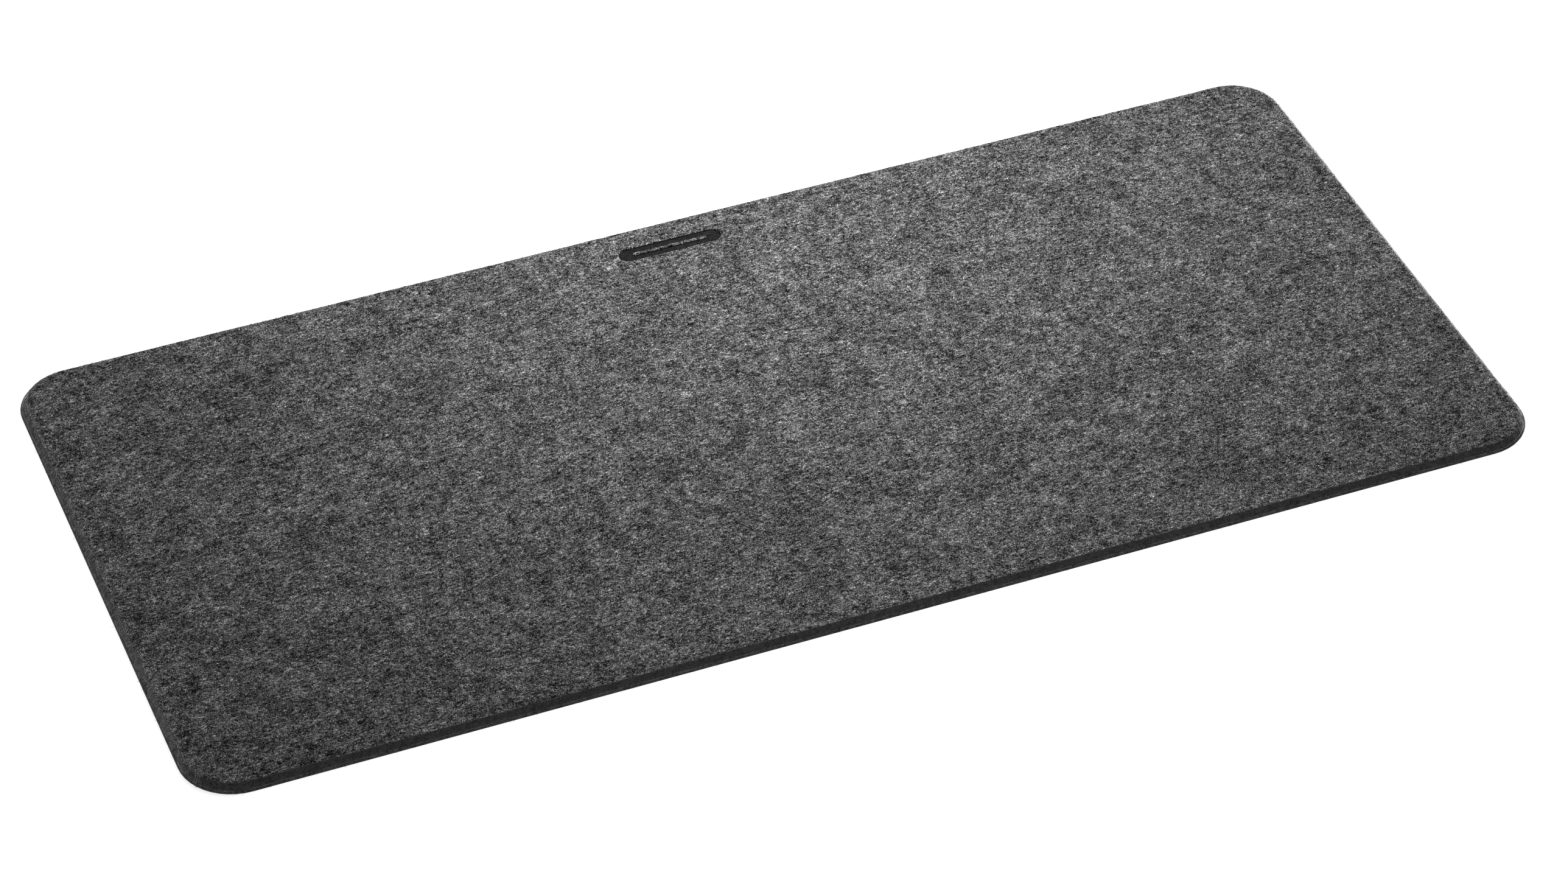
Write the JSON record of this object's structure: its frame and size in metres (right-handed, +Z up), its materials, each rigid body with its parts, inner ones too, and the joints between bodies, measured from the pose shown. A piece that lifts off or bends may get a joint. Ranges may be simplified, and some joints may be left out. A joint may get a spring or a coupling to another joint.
{
  "type": "desk mat",
  "caption": "Flat rectangular felt desk mat with rounded corners, a sloped cut edge, an anti-slip backing and a plain oblong mark pressed in near the back edge.",
  "frame": {"origin": "middle of the underside, where the mat rests on the desk", "axes": "+X to the user's right along the long side, +Y towards the back of the desk, +Z up out of the felt face"},
  "size_m": [0.7, 0.33, 0.004],
  "materials": {
    "felt": "matt needle-punched felt, anthracite melange",
    "bond": "hot-melt film, seen only as a hairline at the edge",
    "backing": "matt, finely textured anti-slip rubber"
  },
  "bodies": {
    "root": {"felt_sheet": "felt", "adhesive_film": "bond", "anti_slip_backing": "backing"}
  },
  "joints": []
}
